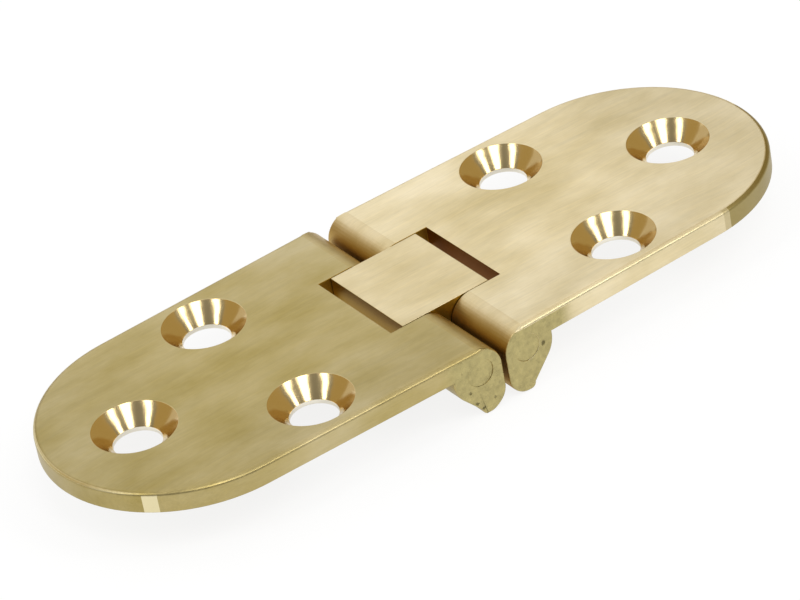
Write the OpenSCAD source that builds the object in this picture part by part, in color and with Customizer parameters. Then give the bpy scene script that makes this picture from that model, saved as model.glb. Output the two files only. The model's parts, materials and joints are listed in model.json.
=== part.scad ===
// Flap hinge in solid brass, shown open and flat.
// Two round-ended leaves are joined by a flush bridge link that turns on one pin in each leaf,
// so that either leaf folds up through a right angle and the faces meet when both are folded.
// X runs along the open hinge, Y along the pins and Z up. The knuckles stand on Z = 0.

/* [Leaves] */
// Length over both leaves with the hinge open
hinge_length = 80; // [76:0.5:90]
// Width of each leaf at the joint
leaf_width = 29.2; // [28.4:0.1:32]
// Radius of each leaf's round end, a little under half of the width at the joint
end_radius = 14.1; // [13.6:0.05:14.6]
// Thickness of the leaf plate
leaf_thickness = 2.2; // [2.1:0.05:2.6]
// Small bevel round the edge of the face
edge_bevel = 0.3; // [0.1:0.05:0.4]

/* [Screw holes] */
// Distance from the joint line to the pair of screw holes
pair_from_joint = 17.6; // [16:0.1:19]
// Distance between the two holes of the pair
pair_spacing = 18; // [16:0.1:18.4]
// Distance from the tip of the leaf to the centre of the end hole
end_hole_inset = 8.7; // [7.5:0.1:10]
// Straight hole for the screw's shank
screw_hole_d = 4.7; // [4.4:0.05:5]
// Width of the countersink at the face
countersink_d = 8.2; // [7.8:0.05:8.4]
// Angle of the countersink
countersink_angle = 90; // [90, 100, 110]

/* [Joint] */
// Depth of the pin axes below the face
pin_depth = 2.45; // [2.35:0.05:2.8]
// Gap between the leaves, both at the joint when open and between the faces when folded
leaf_gap = 0.5; // [0.4:0.05:0.8]
// Outer radius of the knuckle round its pin
knuckle_radius = 3; // [2.9:0.05:3.2]
// Depth of the stop toe's foot below the face
toe_depth = 7.1; // [6.6:0.05:7.6]
// Width of the stop toe along the leaf
toe_width = 2.8; // [2.75:0.05:3.2]
// Rounding of the toe on the side of the joint
toe_inner_radius = 2.2; // [1.4:0.05:2.2]
// Rounding of the toe on the outer side
toe_outer_radius = 0.55; // [0.3:0.05:0.55]

/* [Link] */
// Length of the link over its face
link_length = 10; // [9.6:0.05:10.6]
// Width of the link between the knuckles
link_width = 11.8; // [10:0.1:13]
// Thickness of the link
link_thickness = 4.9; // [4.7:0.05:5.4]
// Rounding of the link's two lower ends
link_corner_radius = 2; // [1.2:0.05:2.2]
// Clearance on each side of the link in its slot
side_clearance = 0.08; // [0.05:0.01:0.2]
// Clearance between the end of the slot and the link's corner as it swings past
swing_clearance = 0.3; // [0.2:0.01:0.4]

/* [Pins] */
// Diameter of the pins
pin_d = 2.8; // [2.6:0.05:3]
// Diameter of the riveted head at each end of a pin
rivet_d = 3.7; // [3.4:0.05:3.9]
// Depth of the riveted head
rivet_depth = 0.5; // [0.4:0.05:0.7]
// Running clearance round the pin in the link
running_clearance = 0.05; // [0.03:0.01:0.09]
// Distance that a filed pin end lies behind the knuckle's end face
pin_recess = 0.05; // [0.03:0.01:0.1]

/* [Hidden] */
$fn = 96;
EPS = 0.5;
BRASS = [0.83, 0.75, 0.55];
PIN_BRASS = [0.78, 0.69, 0.47];

// Heights, from the foot of the stop toes up
face_z = toe_depth;
underside_z = face_z - leaf_thickness;
pin_z = face_z - pin_depth;

// The joint edge is rounded about the pin axis, so it never swings past the joint face
joint_x = leaf_gap / 2;
pin_x = joint_x + pin_depth;

// Plan of a leaf: a round end, and sides that run from the joint corners to touch it
tip_x = hinge_length / 2;
end_x = tip_x - end_radius;
half_width = leaf_width / 2;
corner_to_end = norm([end_x - joint_x, half_width]);
touch_angle = atan2(half_width, joint_x - end_x) - acos(end_radius / corner_to_end);
touch_point = [end_x + end_radius * cos(touch_angle), end_radius * sin(touch_angle)];
side_slope = (half_width - touch_point.y) / (touch_point.x - joint_x);
side_length = norm(touch_point - [joint_x, half_width]);
function half_width_at(x) = half_width - (x - joint_x) * side_slope;

// The slot clears the link's upper corner as it swings about the pin
link_overhang = link_length / 2 - pin_x;
slot_end_x = pin_x + norm([link_overhang, pin_depth]) + swing_clearance;
slot_half_width = link_width / 2 + side_clearance;

// Where the line from the toe touches the knuckle's outer curve
toe_outer_x = joint_x + toe_width;
toe_to_pin = [toe_outer_x - pin_x, toe_outer_radius - pin_z];
knuckle_touch = atan2(toe_to_pin.y, toe_to_pin.x) + acos(knuckle_radius / norm(toe_to_pin));

pin_half_length = half_width_at(pin_x) - pin_recess;
pin_r = pin_d / 2;
rivet_r = rivet_d / 2;

// Straight hole with a countersink whose rim lies in the face
module countersunk_hole(x, y) {
    shank_r = screw_hole_d / 2;
    rim_r = countersink_d / 2;
    steepness = tan(countersink_angle / 2);
    sink = (rim_r - shank_r) / steepness;
    translate([x, y, underside_z - EPS])
        cylinder(h = leaf_thickness + 2 * EPS, r = shank_r);
    translate([x, y, face_z - sink])
        cylinder(h = sink + EPS, r1 = shank_r, r2 = rim_r + EPS * steepness);
}

// Block whose two lower corners are rounded, standing on the X axis
module round_footed(width, height, left_r, right_r) {
    translate([left_r, 0])
        square([width - left_r - right_r, height]);
    translate([0, left_r])
        square([left_r, height - left_r]);
    translate([width - right_r, right_r])
        square([right_r, height - right_r]);
    intersection() {
        translate([left_r, left_r])
            circle(r = left_r);
        square([left_r, left_r]);
    }
    intersection() {
        translate([width - right_r, right_r])
            circle(r = right_r);
        translate([width - right_r, 0])
            square([right_r, right_r]);
    }
}

// Side view of the right leaf: plate, joint edge, knuckle and stop toe
module leaf_section() {
    translate([pin_x, underside_z])
        square([tip_x - pin_x + EPS, leaf_thickness]);
    translate([pin_x, pin_z])
        circle(r = pin_depth);
    // Round below the pin, and upright above it so that the underside meets it square
    translate([pin_x, pin_z])
        square([knuckle_radius, pin_depth]);
    intersection() {
        translate([pin_x, pin_z])
            circle(r = knuckle_radius);
        translate([pin_x, 0])
            square([knuckle_radius + EPS, pin_z]);
    }
    translate([joint_x, 0])
        round_footed(toe_width, pin_z, toe_inner_radius, toe_outer_radius);
    polygon([
        [pin_x, pin_z],
        [toe_outer_x, toe_outer_radius],
        [pin_x + knuckle_radius * cos(knuckle_touch), pin_z + knuckle_radius * sin(knuckle_touch)]
    ]);
}

// Plan of the right leaf
module leaf_plan() {
    translate([end_x, 0])
        circle(r = end_radius);
    polygon([
        [joint_x, -half_width],
        [touch_point.x, -touch_point.y],
        [touch_point.x, touch_point.y],
        [joint_x, half_width]
    ]);
}

// Cutter for the bevel, drawn with the edge to be cut at the origin and the leaf on its left
module bevel_section() {
    polygon([
        [-edge_bevel - EPS, EPS],
        [EPS, EPS],
        [EPS, -edge_bevel - EPS]
    ]);
}

module edge_bevel_cut() {
    translate([end_x, 0, face_z])
        rotate([0, 0, -touch_angle])
            rotate_extrude(angle = 2 * touch_angle)
                translate([end_radius, 0])
                    bevel_section();
    for (side = [-1, 1])
        translate([touch_point.x, side * touch_point.y, face_z])
            rotate([0, 0, side * touch_angle])
                rotate([90, 0, 0])
                    mirror([0, 0, side > 0 ? 1 : 0])
                        translate([0, 0, -EPS])
                            linear_extrude(height = side_length + 2 * EPS)
                                bevel_section();
}

// Hole across the knuckles, opened at both ends for the riveted heads
module pin_hole() {
    translate([pin_x, 0, pin_z])
        rotate([90, 0, 0])
            pin_shape(half_width + EPS, pin_half_length);
}

// A pin along Z: a shaft whose riveted heads end at head_end on each side
module pin_shape(shaft_end, head_end) {
    cylinder(h = 2 * shaft_end, r = pin_r, center = true);
    for (side = [0, 1])
        mirror([0, 0, side])
            translate([0, 0, head_end - rivet_depth])
                cylinder(h = rivet_depth, r1 = pin_r, r2 = rivet_r);
}

module leaf() {
    difference() {
        intersection() {
            linear_extrude(height = face_z)
                leaf_plan();
            translate([0, half_width + EPS, 0])
                rotate([90, 0, 0])
                    linear_extrude(height = leaf_width + 2 * EPS)
                        leaf_section();
        }
        translate([-EPS, -slot_half_width, -EPS])
            cube([slot_end_x + EPS, 2 * slot_half_width, face_z + 2 * EPS]);
        pin_hole();
        for (side = [-1, 1])
            countersunk_hole(pair_from_joint, side * pair_spacing / 2);
        countersunk_hole(tip_x - end_hole_inset, 0);
        edge_bevel_cut();
    }
}

module leaf_right() {
    color(BRASS)
        leaf();
}

module leaf_left() {
    color(BRASS)
        mirror([1, 0, 0])
            leaf();
}

module link() {
    color(BRASS)
        difference() {
            translate([-link_length / 2, link_width / 2, face_z - link_thickness])
                rotate([90, 0, 0])
                    linear_extrude(height = link_width)
                        round_footed(link_length, link_thickness, link_corner_radius, link_corner_radius);
            for (side = [-1, 1])
                translate([side * pin_x, 0, pin_z])
                    rotate([90, 0, 0])
                        cylinder(h = link_width + 2 * EPS, r = pin_r + running_clearance, center = true);
        }
}

module pin(side) {
    color(PIN_BRASS)
        translate([side * pin_x, 0, pin_z])
            rotate([90, 0, 0])
                pin_shape(pin_half_length, pin_half_length);
}

module pin_left() {
    pin(-1);
}

module pin_right() {
    pin(1);
}

leaf_left();
leaf_right();
link();
pin_left();
pin_right();
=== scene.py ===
"""Flap hinge in brushed brass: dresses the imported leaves, link and pins, and sets a pale studio round them."""

import json
import math

import bmesh
import bpy
from mathutils import Matrix, Vector, noise


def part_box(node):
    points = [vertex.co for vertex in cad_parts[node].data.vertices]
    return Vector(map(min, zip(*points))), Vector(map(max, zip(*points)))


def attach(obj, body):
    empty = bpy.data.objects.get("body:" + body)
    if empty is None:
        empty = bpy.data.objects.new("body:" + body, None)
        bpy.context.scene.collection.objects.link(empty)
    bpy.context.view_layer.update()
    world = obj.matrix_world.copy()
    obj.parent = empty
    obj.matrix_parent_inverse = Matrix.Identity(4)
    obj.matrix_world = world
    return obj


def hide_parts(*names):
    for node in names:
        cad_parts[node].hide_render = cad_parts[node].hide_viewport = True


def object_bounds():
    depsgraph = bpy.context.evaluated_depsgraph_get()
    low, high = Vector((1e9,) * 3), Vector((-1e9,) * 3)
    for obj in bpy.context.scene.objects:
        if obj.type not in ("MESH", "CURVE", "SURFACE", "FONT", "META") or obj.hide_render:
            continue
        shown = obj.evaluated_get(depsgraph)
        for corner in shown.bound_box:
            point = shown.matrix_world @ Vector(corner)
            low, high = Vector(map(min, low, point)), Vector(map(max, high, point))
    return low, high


bl_info = {
    "name": "Brass flap hinge",
    "version": (1, 0, 0),
    "blender": (4, 5, 0),
    "location": "3D View > Sidebar > Flap hinge",
    "description": "Brushed brass flap hinge with turned countersinks, riveted pins and a pale studio",
    "category": "Object",
}

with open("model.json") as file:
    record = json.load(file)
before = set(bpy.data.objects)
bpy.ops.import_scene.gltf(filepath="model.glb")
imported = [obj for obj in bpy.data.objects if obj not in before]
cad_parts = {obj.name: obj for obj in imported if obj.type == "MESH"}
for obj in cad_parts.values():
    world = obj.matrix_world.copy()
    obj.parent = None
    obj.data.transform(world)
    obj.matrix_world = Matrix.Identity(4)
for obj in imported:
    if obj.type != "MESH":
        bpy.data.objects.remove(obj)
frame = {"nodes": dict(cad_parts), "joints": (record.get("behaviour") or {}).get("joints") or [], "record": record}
cad_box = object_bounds()

MM = 0.001
FACE_Z = cad_box[1].z
TIP_X = cad_box[1].x
SIDES = {"left": -1, "right": 1}
PIN_AXES = {joint["name"].split("_")[0]: Vector(joint["pos_m"]) for joint in frame["joints"]}
MOUNTS = {mount["name"]: mount for mount in frame["record"]["mounts"]}
PAIR_X = MOUNTS["right_pair_holes"]["pos_m"][0]
PAIR_Y = MOUNTS["right_pair_holes"]["dims"]["spacing_y_mm"] * MM / 2
END_X = MOUNTS["right_end_hole"]["pos_m"][0]
SEAT_Z = MOUNTS["right_seat"]["pos_m"][2]
LINK_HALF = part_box("link")[1].y
# Where the leaf's faces are cut across the end hole, clear of the corners of the round end's outline
END_CUT = END_X + 0.134 * MM
HOLES = [(PAIR_X, PAIR_Y), (PAIR_X, -PAIR_Y), (END_X, 0.0)]
# Middles and radii of the pits on the knuckles' near ends, dented by bump and filled with painted shade: X, and
# depth below the face
PITS = [((4.49, 2.94), 0.24), ((-4.21, 4.04), 0.2), ((-3.6, 5.5), 0.26), ((-3.05, 6.25), 0.2)]
MASKS = ("filed", "bore_reflection", "dull_and_shaded", "golden", "shaded", "sawn", "turned")
# Width of the widest rounding, and the angle above which an edge counts as sharp
WIDEST = 0.25 * MM
SHARP = math.radians(25)
# Everything of a countersink, and of a drilled hole, lies this near the hole's axis
SINK_REACH = 4.2 * MM
BORE_REACH = 2.6 * MM
# The rivets' holes at the knuckles' ends, and the band along Y in which those ends lie
RIVET_REACH = 2 * MM
END_BAND = 0.6 * MM
# The plate alone, past the knuckles and the slot, starts here
PLATE_X = 7 * MM
# Height of the bevel round the face, with a little to spare
BEVEL_DEPTH = 0.31 * MM
# White share of the floor for the camera's rays, and for reflected and transmitted ones
FLOOR_WHITE = (0.85, 0.6)
CAMERA_PLACE = (-0.17908, -0.31370, 0.23758 + FACE_Z)
CAMERA_AZIMUTH, CAMERA_ELEVATION, CAMERA_ROLL = -29.53, 33.57, -10.92


# ---------------------------------------------------------------- settings


def length(name, description, default, **limits):
    return bpy.props.FloatProperty(
        name=name, description=description, default=default, unit="LENGTH", precision=5, **limits
    )


def colour(name, description, default):
    return bpy.props.FloatVectorProperty(
        name=name, description=description, default=default, size=3, min=0.0, max=1.0, subtype="COLOR"
    )


def share(name, description, default, top=1.0):
    return bpy.props.FloatProperty(name=name, description=description, default=default, min=0.0, max=top)


class HingeEdgeSettings(bpy.types.PropertyGroup):
    """How far each kind of edge is rounded over."""

    face_edge: length("Face edge", "Rounding between the face and the bevel round it", 0.24 * MM)
    under_edge: length("Underside edge", "Rounding of the plate's other long edges", 0.14 * MM)
    slot_edge: length("Slot edge", "Rounding of the slot, the link and the joint edges", 0.07 * MM)
    sink_edge: length("Countersink edge", "Rounding of the countersink's rim and throat", 0.035 * MM)
    knuckle_edge: length("Knuckle edge", "Rounding at the sawn ends of the knuckles and toes", 0.18 * MM)
    pin_edge: length("Pin hole edge", "Rounding of the pin holes at the knuckles' ends", 0.03 * MM)
    knuckle_wander: length("Knuckle wander", "How far the knuckles' ends stray from their outline", 0.05 * MM)


class HingeFinishSettings(bpy.types.PropertyGroup):
    """Colours of the brass and strength of its marks."""

    # The leaves are one brass: the left leaf's darker colour is painted shade, the difference that the light made
    # between them
    left_brass_shaded: colour("Left leaf", "Brass of the left leaf", (0.525, 0.43, 0.20))
    right_brass: colour("Right leaf", "Brass of the right leaf", (0.81, 0.69, 0.425))
    link_brass: colour("Link", "Brass of the link", (0.78, 0.66, 0.40))
    sawn_brass: colour("Sawn brass", "Coarse metal at the knuckles' ends and on the pins", (0.50, 0.43, 0.195))
    turned_brass: colour("Turned brass", "Fresh metal in the countersinks", (0.74, 0.575, 0.30))
    # Painted highlight on the bevel, and real filed metal at the gate
    filed_brass: colour("Filed brass", "Bright metal on the bevel and the filed gate", (0.78, 0.69, 0.42))
    # Painted reflection: the drilled holes' walls are painted near white, as the white ground that they reflect
    bore_reflection_brass: colour("Bored brass", "Very bright walls of the drilled holes", (0.95, 0.91, 0.80))
    # Painted shade under the leaves, and a darker, duller skin round the tips
    dull_and_shaded_brass: colour("Dull brass", "Dark film round the tips and under the leaves", (0.24, 0.175, 0.02))
    # Painted shade on the end walls deep in the slots
    shaded_brass: colour("Shaded brass", "Dark brown film at the slots' ends", (0.31, 0.125, 0.004))
    golden_brass: colour("Golden brass", "Golden film in the slots and on the joint", (0.42, 0.25, 0.03))
    satin: share("Satin", "Roughness of the brushed faces", 0.36)
    turned: share("Turned", "Roughness of the countersinks", 0.16)
    sawn: share("Sawn", "Roughness of the knuckles' ends", 0.5)
    streaks: share("Streaks", "Strength of the brushing marks", 0.6)
    mottle: share("Mottle", "Strength of the uneven tone", 0.6)


class HingeStageSettings(bpy.types.PropertyGroup):
    """Floor, lamps, cards and camera."""

    floor: colour("Floor", "Colour of the floor", (0.93, 0.93, 0.93))
    room: share("Room", "Brightness of the room's even light", 0.82, 5.0)
    strips: share("Strips", "Brightness of the three strip lights", 4.5, 20.0)
    lamp_surround: colour("Lamp surround", "Card behind the strip lights", (0.26, 0.26, 0.25))
    side_walls: colour("Side walls", "Warm cards on both sides of the strip lights", (0.47, 0.365, 0.17))
    left_back: colour("Left back", "Paler warm card low on the left", (0.66, 0.60, 0.48))
    low_back: colour("Low back", "Low dark card behind the hinge", (0.38, 0.31, 0.18))
    lens: bpy.props.FloatProperty(
        name="Lens", description="Focal length on a 36 mm sensor", default=206.56, min=20.0, max=400.0
    )


def settings():
    scene = bpy.context.scene
    return scene.flap_hinge_edges, scene.flap_hinge_finish, scene.flap_hinge_stage


# ---------------------------------------------------------------- node helpers


def new_group(name, inputs, outputs):
    """A shader node group with the named sockets, and its input and output nodes."""
    tree = bpy.data.node_groups.new(name, "ShaderNodeTree")
    for direction, sockets in (("INPUT", inputs), ("OUTPUT", outputs)):
        for label, kind, default in sockets:
            socket = tree.interface.new_socket(name=label, in_out=direction, socket_type="NodeSocket" + kind)
            if default is not None:
                socket.default_value = default
    return tree, tree.nodes.new("NodeGroupInput"), tree.nodes.new("NodeGroupOutput")


def node(tree, kind, inputs=None, **values):
    """A node with its properties and inputs set. An input is a socket to link or a plain value."""
    made = tree.nodes.new("ShaderNode" + kind)
    for key, value in values.items():
        setattr(made, key, value)
    for key, value in (inputs or {}).items():
        if isinstance(value, bpy.types.NodeSocket):
            tree.links.new(value, made.inputs[key])
        else:
            made.inputs[key].default_value = value
    return made


def maths(tree, operation, *values, clamp=False):
    made = node(tree, "Math", dict(enumerate(values)), operation=operation, use_clamp=clamp)
    return made.outputs[0]


def blend(tree, amount, a, b, mode="MIX"):
    return node(tree, "Mix", {0: amount, 6: a, 7: b}, data_type="RGBA", blend_type=mode).outputs[2]


def ramp(tree, value, low, high):
    """0 below low, 1 above high and smooth between them."""
    made = node(
        tree, "MapRange", {"Value": value, "From Min": low, "From Max": high}, interpolation_type="SMOOTHSTEP"
    )
    return made.outputs[0]


def stretched_noise(tree, position, per_metre, detail=3.0, roughness=0.5):
    """Noise whose grain is 1/per_metre long on each axis."""
    scaled = node(tree, "VectorMath", {0: position, 1: per_metre}, operation="MULTIPLY")
    return node(
        tree, "TexNoise", {"Vector": scaled.outputs[0], "Scale": 1.0, "Detail": detail, "Roughness": roughness}
    ).outputs["Fac"]


# ---------------------------------------------------------------- shared effects


def brushing_group():
    """Fine scratches along the hinge's length over an uneven tone, with painted shade that darkens it at the tips
    and near edges.
    """
    tree, given, out = new_group(
        "brushing",
        [
            ("Position", "Vector", None),
            ("Colour", "Color", None),
            ("Streaks", "Float", 0.5),
            ("Mottle", "Float", 0.5),
        ],
        [("Colour", "Color", None), ("Rough", "Float", None), ("Height", "Float", None)],
    )
    position = given.outputs["Position"]
    # The belt wandered a little, so the scratches bend slowly
    bend = stretched_noise(tree, position, (45, 45, 45), 1.0)
    sway = maths(tree, "MULTIPLY", maths(tree, "SUBTRACT", bend, 0.5), 0.0045)
    parts = node(tree, "SeparateXYZ", {0: position})
    swayed = node(
        tree,
        "CombineXYZ",
        {0: parts.outputs[0], 1: maths(tree, "ADD", parts.outputs[1], sway), 2: parts.outputs[2]},
    ).outputs[0]
    fine = stretched_noise(tree, swayed, (260, 6200, 6200), 2.0, 0.6)
    broad = stretched_noise(tree, swayed, (90, 1500, 1500), 3.0, 0.55)
    cloud = stretched_noise(tree, position, (150, 260, 260), 4.0, 0.6)
    smear = stretched_noise(tree, position, (38, 60, 60), 2.0, 0.5)
    marks = maths(tree, "ADD", maths(tree, "MULTIPLY", fine, 0.55), maths(tree, "MULTIPLY", broad, 0.45))
    signed = maths(tree, "MULTIPLY", maths(tree, "SUBTRACT", marks, 0.5), given.outputs["Streaks"])
    clouded = maths(tree, "MULTIPLY", maths(tree, "SUBTRACT", cloud, 0.5), 0.8)
    smeared = maths(tree, "SUBTRACT", smear, 0.5)
    uneven = maths(tree, "MULTIPLY", maths(tree, "ADD", clouded, smeared), given.outputs["Mottle"])
    along = maths(tree, "ABSOLUTE", parts.outputs[0])
    # Painted shade: darker towards both tips, more towards the right tip, and towards the near edge away from the
    # tips
    both_tips = maths(tree, "MULTIPLY", ramp(tree, along, 0.5 * TIP_X, TIP_X), 0.1)
    right_half = maths(tree, "MULTIPLY", ramp(tree, parts.outputs[0], 0.45 * TIP_X, 0.85 * TIP_X), 0.06)
    painted_shade = maths(tree, "ADD", both_tips, right_half)
    nearness = maths(tree, "MULTIPLY", parts.outputs[1], -1.0)
    at_wall = ramp(tree, nearness, 13.4 * MM, 14 * MM)
    near = maths(tree, "SUBTRACT", ramp(tree, nearness, 3 * MM, 11 * MM), at_wall)
    middle = maths(tree, "SUBTRACT", 1.0, ramp(tree, along, 0.55 * TIP_X, 0.8 * TIP_X))
    painted_shade = maths(tree, "ADD", painted_shade, maths(tree, "MULTIPLY", maths(tree, "MULTIPLY", near, middle), 0.1))
    level = maths(tree, "ADD", maths(tree, "MULTIPLY", signed, 0.7), uneven)
    level = maths(tree, "ADD", level, maths(tree, "SUBTRACT", 1.0, painted_shade))
    toned = node(
        tree,
        "HueSaturation",
        {"Saturation": maths(tree, "SUBTRACT", 1.0, uneven), "Value": level, "Color": given.outputs["Colour"]},
    )
    tree.links.new(toned.outputs[0], out.inputs["Colour"])
    tree.links.new(maths(tree, "MULTIPLY", signed, 0.35), out.inputs["Rough"])
    tree.links.new(marks, out.inputs["Height"])
    return tree


def turning_group():
    """Rings that the cutter left in the countersinks, by the distance from the nearest hole's axis."""
    tree, given, out = new_group(
        "turning", [("Position", "Vector", None), ("Pitch", "Float", 0.00011)], [("Height", "Float", None)]
    )
    folded = node(tree, "VectorMath", {0: given.outputs["Position"]}, operation="ABSOLUTE").outputs[0]
    flat = node(tree, "VectorMath", {0: folded, 1: (1.0, 1.0, 0.0)}, operation="MULTIPLY").outputs[0]
    pair = node(tree, "VectorMath", {0: flat, 1: (PAIR_X, PAIR_Y, 0.0)}, operation="DISTANCE").outputs["Value"]
    end = node(tree, "VectorMath", {0: flat, 1: (END_X, 0.0, 0.0)}, operation="DISTANCE").outputs["Value"]
    around = maths(tree, "MULTIPLY", maths(tree, "MINIMUM", pair, end), math.tau)
    wave = maths(tree, "SINE", maths(tree, "DIVIDE", around, given.outputs["Pitch"]))
    tree.links.new(wave, out.inputs["Height"])
    return tree


def sawing_group():
    """Coarse, pitted skin of the sawn knuckle ends, with painted shade in the pits and painted light and shade on
    the lumps, which fades out along the plate.
    """
    tree, given, out = new_group(
        "sawing",
        [("Position", "Vector", None), ("Colour", "Color", None)],
        [("Colour", "Color", None), ("Height", "Float", None), ("Reach", "Float", None)],
    )
    position = given.outputs["Position"]
    lumps = stretched_noise(tree, position, (1500, 1500, 1500), 4.0, 0.6)
    patches = stretched_noise(tree, position, (420, 420, 420), 3.0, 0.6)
    scaled = node(tree, "VectorMath", {0: position, 1: (1000, 1000, 1000)}, operation="MULTIPLY").outputs[0]
    pits = node(tree, "TexVoronoi", {"Vector": scaled, "Scale": 0.9, "Randomness": 1.0}).outputs["Distance"]
    pit = maths(tree, "SUBTRACT", 1.0, ramp(tree, pits, 0.1, 0.24))
    pit_dent_and_shade = maths(tree, "MULTIPLY", pit, ramp(tree, patches, 0.54, 0.6))
    # The edge of each pit is ragged
    ragged = maths(tree, "MULTIPLY", maths(tree, "SUBTRACT", lumps, 0.5), 0.0006)
    for (x, depth), radius in PITS:
        middle = (x * MM, -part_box("leaf_right")[1].y, FACE_Z - depth * MM)
        apart = node(tree, "VectorMath", {0: position, 1: middle}, operation="DISTANCE").outputs["Value"]
        inside = ramp(tree, maths(tree, "ADD", apart, ragged), 0.4 * radius * MM, radius * MM)
        pit_dent_and_shade = maths(tree, "MAXIMUM", pit_dent_and_shade, maths(tree, "SUBTRACT", 1.0, inside))
    # The tone rises and falls with the lumps' height: painted light and shade on the bumps
    level = maths(tree, "ADD", 0.62, maths(tree, "MULTIPLY", lumps, 0.76))
    toned = node(tree, "HueSaturation", {"Value": level, "Color": given.outputs["Colour"]})
    # The pits are darkened with painted shade
    with_pit_shade = blend(tree, maths(tree, "MULTIPLY", pit_dent_and_shade, 0.75), toned.outputs[0], (0.10, 0.085, 0.03, 1.0))
    tree.links.new(with_pit_shade, out.inputs["Colour"])
    tree.links.new(maths(tree, "SUBTRACT", lumps, maths(tree, "MULTIPLY", pit_dent_and_shade, 0.9)), out.inputs["Height"])
    # It reaches a little further along the right leaf
    across = node(tree, "SeparateXYZ", {0: position}).outputs[0]
    along = maths(tree, "ABSOLUTE", maths(tree, "SUBTRACT", across, 0.8 * MM))
    tree.links.new(maths(tree, "SUBTRACT", 1.0, ramp(tree, along, 5.8 * MM, 8 * MM)), out.inputs["Reach"])
    return tree


def shared(name, build):
    return bpy.data.node_groups.get(name) or build()


def brass(name, base, everywhere=None):
    """Brushed brass, worked, darkened or painted with light and shade where its masks are 1. One mask may hold
    everywhere instead.
    """
    _, finish, _ = settings()
    made = bpy.data.materials.new(name)
    made.use_nodes = True
    tree = made.node_tree
    tree.nodes.clear()
    position = node(tree, "TexCoord").outputs["Object"]
    brushed = node(tree, "Group", node_tree=shared("brushing", brushing_group))
    tree.links.new(position, brushed.inputs["Position"])
    brushed.inputs["Colour"].default_value = (*base, 1.0)
    brushed.inputs["Streaks"].default_value = finish.streaks
    brushed.inputs["Mottle"].default_value = finish.mottle
    turned = node(tree, "Group", node_tree=shared("turning", turning_group))
    tree.links.new(position, turned.inputs["Position"])
    sawn = node(tree, "Group", node_tree=shared("sawing", sawing_group))
    tree.links.new(position, sawn.inputs["Position"])
    sawn.inputs["Colour"].default_value = (*finish.sawn_brass, 1.0)
    mask = {
        label: 1.0 if label == everywhere else node(tree, "Attribute", attribute_name=label).outputs["Fac"]
        for label in MASKS
    }
    mask["sawn"] = maths(tree, "MULTIPLY", mask["sawn"], sawn.outputs["Reach"])
    tint = brushed.outputs["Colour"]
    for label in MASKS:
        worked = sawn.outputs["Colour"] if label == "sawn" else (*getattr(finish, label + "_brass"), 1.0)
        tint = blend(tree, mask[label], tint, worked)
    roughness = maths(tree, "ADD", finish.satin, brushed.outputs["Rough"])
    for label, level in (("dull_and_shaded", 0.42), ("golden", 0.42), ("sawn", finish.sawn), ("turned", finish.turned)):
        kept = maths(tree, "MULTIPLY", roughness, maths(tree, "SUBTRACT", 1.0, mask[label]))
        roughness = maths(tree, "ADD", kept, maths(tree, "MULTIPLY", mask[label], level))
    plain = maths(tree, "SUBTRACT", 1.0, maths(tree, "MAXIMUM", mask["turned"], mask["sawn"]))
    height = maths(tree, "MULTIPLY", brushed.outputs["Height"], maths(tree, "MULTIPLY", plain, 0.006))
    for label, group, depth in (("sawn", sawn, 0.2), ("turned", turned, 0.00035)):
        part = maths(tree, "MULTIPLY", group.outputs["Height"], maths(tree, "MULTIPLY", mask[label], depth))
        height = maths(tree, "ADD", height, part)
    bump = node(tree, "Bump", {"Strength": 1.0, "Distance": MM, "Height": height})
    shader = node(
        tree,
        "BsdfPrincipled",
        {"Base Color": tint, "Roughness": roughness, "Metallic": 1.0, "Normal": bump.outputs[0]},
    )
    node(tree, "OutputMaterial", {"Surface": shader.outputs[0]})
    return made


# ---------------------------------------------------------------- shaping


def hole_distance(co):
    """Distance from the nearest screw hole's axis, for a point of either leaf."""
    return min(math.hypot(abs(co.x) - x, co.y - y) for x, y in HOLES)


def ease(value, low, high):
    """0 below low, 1 above high and smooth between them."""
    t = min(1.0, max(0.0, (value - low) / (high - low)))
    return t * t * (3 - 2 * t)


def merged_copy(name, cuts):
    """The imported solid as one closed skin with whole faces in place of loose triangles.

    A face with a hole in it stays cut at the given X, across the hole. The round end's wall is left whole.
    """
    shape = bmesh.new()
    shape.from_mesh(frame["nodes"][name].data)
    bmesh.ops.remove_doubles(shape, verts=shape.verts, dist=1e-8)
    bmesh.ops.dissolve_degenerate(shape, dist=3e-6, edges=shape.edges)
    for x in cuts:
        whole = shape.verts[:] + shape.edges[:] + shape.faces[:]
        made = bmesh.ops.bisect_plane(shape, geom=whole, dist=2e-6, plane_co=(x, 0, 0), plane_no=(1, 0, 0))
        for part in made["geom_cut"]:
            if isinstance(part, bmesh.types.BMEdge):
                part.seam = abs(x) < END_X or all(abs(face.normal.x) < 0.1 for face in part.link_faces)
    bmesh.ops.dissolve_limit(
        shape,
        angle_limit=math.radians(0.3),
        verts=shape.verts,
        edges=shape.edges,
        use_dissolve_boundaries=False,
        delimit={"SEAM"},
    )
    if any(not edge.is_manifold for edge in shape.edges):
        raise RuntimeError(f"{name} did not merge into a closed skin")
    return shape


def weigh_edges(shape, width_of):
    """Gives each sharp edge its rounding, as a share of the modifier's width."""
    layer = shape.edges.layers.float.new("bevel_weight_edge")
    for edge in shape.edges:
        if edge.calc_face_angle(0.0) > SHARP:
            edge[layer] = min(1.0, width_of(edge) / WIDEST)


def mark_faces(shape, label, measure):
    """Writes how far each face belongs to the mask, from 0 to 1."""
    layer = shape.faces.layers.float.new(label)
    for face in shape.faces:
        face[layer] = float(measure(face, face.calc_center_median()))


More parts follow.
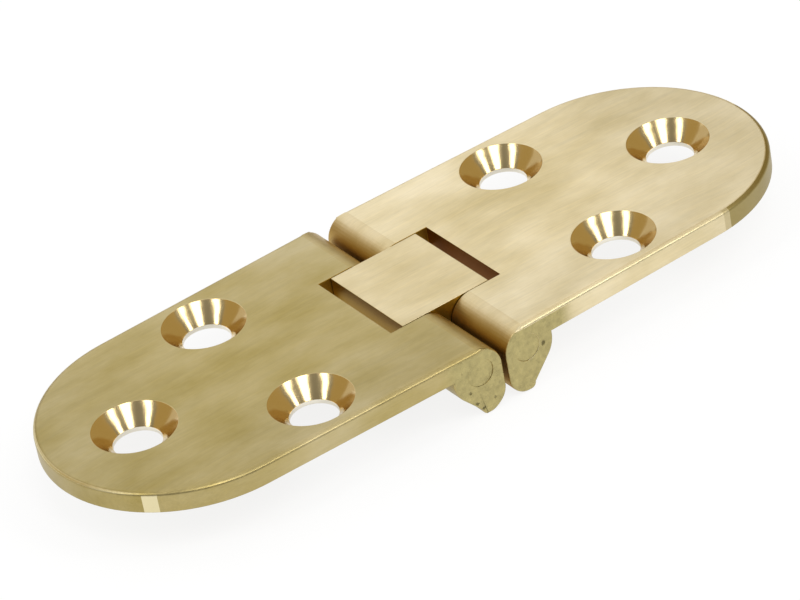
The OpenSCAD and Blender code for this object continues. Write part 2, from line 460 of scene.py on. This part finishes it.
def finish_piece(shape, name, node_name, body, material):
    """Makes the piece, rounds its weighted edges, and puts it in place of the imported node."""
    mesh = bpy.data.meshes.new(name)
    shape.to_mesh(mesh)
    shape.free()
    piece = bpy.data.objects.new(name, mesh)
    bpy.context.scene.collection.objects.link(piece)
    mesh.materials.append(material)
    mesh.polygons.foreach_set("use_smooth", [True] * len(mesh.polygons))
    rounding = piece.modifiers.new("rounding", "BEVEL")
    rounding.limit_method = "WEIGHT"
    rounding.width = WIDEST
    rounding.segments = 3
    rounding.profile = 0.5
    rounding.use_clamp_overlap = False
    evening = piece.modifiers.new("evening", "WEIGHTED_NORMAL")
    evening.keep_sharp = True
    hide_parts(node_name)
    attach(piece, body)
    return piece


def wander(shape, half_width, pin, amount):
    """Lets the outline of the knuckles' sawn ends stray a little, within their flat ends."""
    noise.seed_set(3)
    for vert in shape.verts:
        at_end = abs(vert.co.y) > half_width - END_BAND and vert.co.z < SEAT_Z
        if at_end and math.hypot(vert.co.x - pin.x, vert.co.z - pin.z) > RIVET_REACH:
            drift = noise.noise_vector(vert.co * 900) * amount * ease(SEAT_Z - vert.co.z, 0.0, 1 * MM)
            vert.co.x += drift.x
            vert.co.z = max(0.0, vert.co.z + drift.z)


def dress_leaf(side):
    """One leaf: brushed plate, turned countersinks, sawn knuckle ends and a golden film in the joint."""
    edges, finish, _ = settings()
    name = f"leaf_{side}"
    half_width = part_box(name)[1].y
    pin = PIN_AXES[side]
    shape = merged_copy(name, [pin.x] + [SIDES[side] * x for x in (PAIR_X, END_CUT)])
    wander(shape, half_width, pin, edges.knuckle_wander)

    def in_slot(co):
        return abs(co.x) < PLATE_X and abs(co.y) < LINK_HALF + 0.3 * MM

    def turned(face, centre):
        return all(hole_distance(v.co) < SINK_REACH for v in face.verts) and 0.3 < abs(face.normal.z) < 0.9

    def sawn(face, centre):
        at_end = abs(face.normal.y) > 0.9 and abs(centre.y) > half_width - 1 * MM
        return at_end and min(v.co.z for v in face.verts) < SEAT_Z - 1 * MM

    def bore_reflection(face, centre):
        # Painted reflection of the white ground on the drilled walls
        return all(hole_distance(v.co) < BORE_REACH for v in face.verts) and abs(face.normal.z) < 0.3

    def golden(face, centre):
        at_stop = abs(centre.x) < 0.6 * MM and centre.z < pin.z
        if abs(face.normal.z) < 0.7 and (in_slot(centre) or at_stop):
            return 1.0
        # On the joint's curve the film thickens downwards
        if abs(centre.x) < abs(pin.x) and abs(face.normal.y) < 0.1 and face.normal.z < 0.9999:
            return 0.85 * ease(FACE_Z - centre.z, -0.5 * MM, 1.3 * MM)
        return 0.0

    def shaded(face, centre):
        # Painted shade on the slots' end walls
        return in_slot(centre) and abs(face.normal.x) > 0.9

    def dull_and_shaded(face, centre):
        # Undersides are painted darker as shade
        if face.normal.z < -0.9:
            return 0.35
        if abs(face.normal.z) > 0.8 or hole_distance(centre) < SINK_REACH:
            return 0.0
        # The right leaf is darkened all round its near tip, the left one only on its outermost wall
        if side == "right":
            thin = 0.1 * (face.normal.y < -0.9)
            return max(thin, 0.78 * ease(centre.x, 0.665 * TIP_X, 0.7 * TIP_X) * (centre.y < 0))
        return 0.2 * ease(-centre.x, 0.95 * TIP_X, 0.985 * TIP_X) * (face.normal.z < 0.3)

    def filed(face, centre):
        if hole_distance(centre) < SINK_REACH or abs(centre.x) < 3 * MM:
            return 0.0
        # The bevel is painted bright as a highlight, on the left leaf only round its tip
        if 0.6 < face.normal.z < 0.8:
            return ease(-centre.x, 0.9 * TIP_X, 0.985 * TIP_X) if side == "left" else 0.45
        # A file took the casting's gate off the left tip
        angle = math.degrees(math.atan2(face.normal.y, face.normal.x)) % 360
        gate = side == "left" and centre.x < -0.8 * TIP_X and 220.6 < angle < 227
        return gate and abs(face.normal.z) < 0.3

    for label, measure in zip(MASKS, (filed, bore_reflection, dull_and_shaded, golden, shaded, sawn, turned)):
        mark_faces(shape, label, measure)

    def width_of(edge):
        a, b = (v.co for v in edge.verts)
        low, far = min(a.z, b.z), max(abs(a.x), abs(b.x))
        at_end = min(abs(a.y), abs(b.y)) > half_width - END_BAND
        if max(hole_distance(a), hole_distance(b)) < SINK_REACH:
            return edges.sink_edge
        if at_end and max(math.hypot(co.x - pin.x, co.z - pin.z) for co in (a, b)) < RIVET_REACH:
            return edges.pin_edge
        # One width all round each sawn end, but none where the bevel runs out on the joint's curve
        if at_end and far < 6 * MM:
            return edges.knuckle_edge if low < FACE_Z - BEVEL_DEPTH else 0.0
        if low > FACE_Z - 0.05 * MM and far > PLATE_X and not in_slot(a) and not in_slot(b):
            return edges.face_edge
        return edges.under_edge if far > PLATE_X else edges.slot_edge

    weigh_edges(shape, width_of)
    # The left leaf's base colour carries painted shade
    base = finish.left_brass_shaded if side == "left" else finish.right_brass
    material = brass(f"brushed_brass_{side}", base)
    return finish_piece(shape, f"{side}_leaf", name, f"{side}_leaf", material)


# ---------------------------------------------------------------- operators


class HINGE_OT_leaves(bpy.types.Operator):
    """Dress both leaves in brushed brass with rounded edges"""

    bl_idname = "flap_hinge.leaves"
    bl_label = "Leaves"

    def execute(self, context):
        for side in SIDES:
            dress_leaf(side)
        return {"FINISHED"}


class HINGE_OT_link(bpy.types.Operator):
    """Dress the bridge link between the leaves"""

    bl_idname = "flap_hinge.link"
    bl_label = "Link"

    def execute(self, context):
        edges, finish, _ = settings()
        shape = merged_copy("link", [pin.x for pin in PIN_AXES.values()])
        for label in MASKS:
            mark_faces(shape, label, lambda face, centre: label == "golden" and face.normal.z < 0.9)
        weigh_edges(shape, lambda edge: edges.slot_edge)
        material = brass("brushed_brass_link", finish.link_brass)
        finish_piece(shape, "bridge_link", "link", "bridge", material)
        return {"FINISHED"}


class HINGE_OT_pins(bpy.types.Operator):
    """Give the two riveted pins their filed brass"""

    bl_idname = "flap_hinge.pins"
    bl_label = "Pins"

    def execute(self, context):
        _, finish, _ = settings()
        for side in SIDES:
            pin = frame["nodes"][f"pin_{side}"]
            pin.data.materials.clear()
            pin.data.materials.append(brass(f"filed_brass_{side}", finish.sawn_brass, everywhere="sawn"))
        return {"FINISHED"}


# ---------------------------------------------------------------- stage


def towards(azimuth, elevation):
    """Unit vector in that direction: azimuth 0 is the front, -Y, and 90 is the right, +X."""
    a, e = math.radians(azimuth), math.radians(elevation)
    return Vector((math.sin(a) * math.cos(e), -math.cos(a) * math.cos(e), math.sin(e)))


def stage_object(name, mesh):
    made = bpy.data.objects.new(name, mesh)
    bpy.context.scene.collection.objects.link(made)
    return made


def strip_light(name, azimuth, elevation, size, radiance):
    """A rectangular lamp a metre away in that direction, facing the hinge."""
    back = towards(azimuth, elevation)
    data = bpy.data.lights.new(name, "AREA")
    data.shape = "RECTANGLE"
    data.size, data.size_y = size
    data.energy = radiance * math.pi * size[0] * size[1]
    data.color = (1.0, 0.985, 0.95)
    lamp = bpy.data.objects.new(name, data)
    lamp.location = back
    lamp.rotation_mode = "QUATERNION"
    lamp.rotation_quaternion = back.to_track_quat("Z", "Y")
    lamp.visible_camera = False
    bpy.context.scene.collection.objects.link(lamp)
    return lamp


def card(name, tone, azimuths, elevations):
    """Part of a dome behind the lamps, seen only in reflections, so that the turned brass has contrast."""
    shape = bmesh.new()
    bmesh.ops.create_uvsphere(shape, u_segments=72, v_segments=36, radius=1.3)
    outside = []
    for face in shape.faces:
        centre = face.calc_center_median().normalized()
        azimuth = math.degrees(math.atan2(centre.x, -centre.y))
        elevation = math.degrees(math.asin(centre.z))
        if not (azimuths[0] < azimuth < azimuths[1] and elevations[0] < elevation < elevations[1]):
            outside.append(face)
    bmesh.ops.delete(shape, geom=outside, context="FACES")
    bmesh.ops.reverse_faces(shape, faces=shape.faces)
    mesh = bpy.data.meshes.new(name)
    shape.to_mesh(mesh)
    shape.free()
    made = stage_object(name, mesh)
    material = bpy.data.materials.new(name)
    material.use_nodes = True
    tree = material.node_tree
    tree.nodes.clear()
    glow = node(tree, "Emission", {"Color": (*tone, 1.0), "Strength": 1.0})
    node(tree, "OutputMaterial", {"Surface": glow.outputs[0]})
    mesh.materials.append(material)
    for ray in ("camera", "diffuse", "shadow", "transmission"):
        setattr(made, "visible_" + ray, False)
    return made


def white_share(tree, camera, reflected):
    """How white the background is made for camera rays, and for glossy and transmission rays."""
    path = node(tree, "LightPath")
    seen = maths(tree, "MULTIPLY", path.outputs["Is Camera Ray"], camera)
    for ray in ("Is Glossy Ray", "Is Transmission Ray"):
        seen = maths(tree, "MAXIMUM", seen, maths(tree, "MULTIPLY", path.outputs[ray], reflected))
    return seen


def floor_paper(stage):
    made = bpy.data.materials.new("floor_paper")
    made.use_nodes = True
    tree = made.node_tree
    tree.nodes.clear()
    paper = node(tree, "BsdfDiffuse", {"Color": (*stage.floor, 1.0)})
    white = node(tree, "Emission", {"Color": (1.0, 1.0, 1.0, 1.0), "Strength": 1.0})
    mix = node(tree, "MixShader", {0: white_share(tree, *FLOOR_WHITE)})
    tree.links.new(paper.outputs[0], mix.inputs[1])
    tree.links.new(white.outputs[0], mix.inputs[2])
    node(tree, "OutputMaterial", {"Surface": mix.outputs[0]})
    return made


def white_room(stage):
    world = bpy.data.worlds.new("white_room")
    world.use_nodes = True
    tree = world.node_tree
    tree.nodes.clear()
    rest = 1.0 - stage.room
    strength = maths(tree, "ADD", stage.room, white_share(tree, rest, rest))
    background = node(tree, "Background", {"Color": (1.0, 1.0, 1.0, 1.0), "Strength": strength})
    node(tree, "OutputWorld", {"Surface": background.outputs[0]})
    return world


def place_camera(stage):
    """A long lens at the photograph's angle, aimed at the middle of the hinge's faces."""
    data = bpy.data.cameras.new("camera")
    data.sensor_width = 36.0
    data.sensor_fit = "HORIZONTAL"
    data.lens = stage.lens
    data.clip_start, data.clip_end = 0.01, 20.0
    camera = bpy.data.objects.new("camera", data)
    back = towards(CAMERA_AZIMUTH, CAMERA_ELEVATION)
    level = Vector((0, 0, 1)).cross(back).normalized()
    roll = Matrix.Rotation(math.radians(CAMERA_ROLL), 3, back)
    right = roll @ level
    up = back.cross(right)
    turn = Matrix((right, up, back)).transposed()
    camera.matrix_world = Matrix.Translation(CAMERA_PLACE) @ turn.to_4x4()
    bpy.context.scene.collection.objects.link(camera)
    bpy.context.scene.camera = camera
    return camera


class HINGE_OT_studio(bpy.types.Operator):
    """Set the floor, lamps, cards, white room and camera"""

    bl_idname = "flap_hinge.studio"
    bl_label = "Studio"

    def execute(self, context):
        _, _, stage = settings()
        context.scene.view_settings.view_transform = "Standard"
        # Floor: a wide pale sheet just under the hinge's feet
        sheet = bmesh.new()
        bmesh.ops.create_grid(sheet, x_segments=1, y_segments=1, size=4.0)
        mesh = bpy.data.meshes.new("floor")
        sheet.to_mesh(mesh)
        sheet.free()
        mesh.materials.append(floor_paper(stage))
        stage_object("floor", mesh).location.z = -0.02 * MM
        context.scene.world = white_room(stage)
        strip_light("front_strip", 38, 45.5, (0.22, 0.5), stage.strips)
        strip_light("side_strip", -13, 57, (0.31, 0.5), stage.strips)
        strip_light("left_strip", -89, 49.5, (0.19, 0.5), stage.strips)
        card("lamp_surround", stage.lamp_surround, (-110, 60), (10, 80))
        card("right_wall", stage.side_walls, (60, 135), (0, 55))
        card("left_wall", stage.side_walls, (-150, -110), (5, 60))
        card("left_back", stage.left_back, (-180, -150), (5, 30))
        card("low_back", stage.low_back, (135, 180), (0, 15))
        place_camera(stage)
        return {"FINISHED"}


class HINGE_PT_panel(bpy.types.Panel):
    """Sidebar panel that lists the hinge's steps and settings"""

    bl_idname = "HINGE_PT_panel"
    bl_label = "Flap hinge"
    bl_space_type = "VIEW_3D"
    bl_region_type = "UI"
    bl_category = "Flap hinge"

    def draw(self, context):
        for operator in (HINGE_OT_leaves, HINGE_OT_link, HINGE_OT_pins, HINGE_OT_studio):
            self.layout.operator(operator.bl_idname)
        for group in settings():
            box = self.layout.box()
            for name in group.__annotations__:
                box.prop(group, name)


CLASSES = (
    HingeEdgeSettings,
    HingeFinishSettings,
    HingeStageSettings,
    HINGE_OT_leaves,
    HINGE_OT_link,
    HINGE_OT_pins,
    HINGE_OT_studio,
    HINGE_PT_panel,
)


def register():
    for cls in CLASSES:
        bpy.utils.register_class(cls)
    bpy.types.Scene.flap_hinge_edges = bpy.props.PointerProperty(type=HingeEdgeSettings)
    bpy.types.Scene.flap_hinge_finish = bpy.props.PointerProperty(type=HingeFinishSettings)
    bpy.types.Scene.flap_hinge_stage = bpy.props.PointerProperty(type=HingeStageSettings)


def unregister():
    del bpy.types.Scene.flap_hinge_stage
    del bpy.types.Scene.flap_hinge_finish
    del bpy.types.Scene.flap_hinge_edges
    for cls in reversed(CLASSES):
        bpy.utils.unregister_class(cls)


def main():
    register()
    bpy.ops.flap_hinge.leaves()
    bpy.ops.flap_hinge.link()
    bpy.ops.flap_hinge.pins()
    bpy.ops.flap_hinge.studio()


if __name__ == "__main__":
    main()
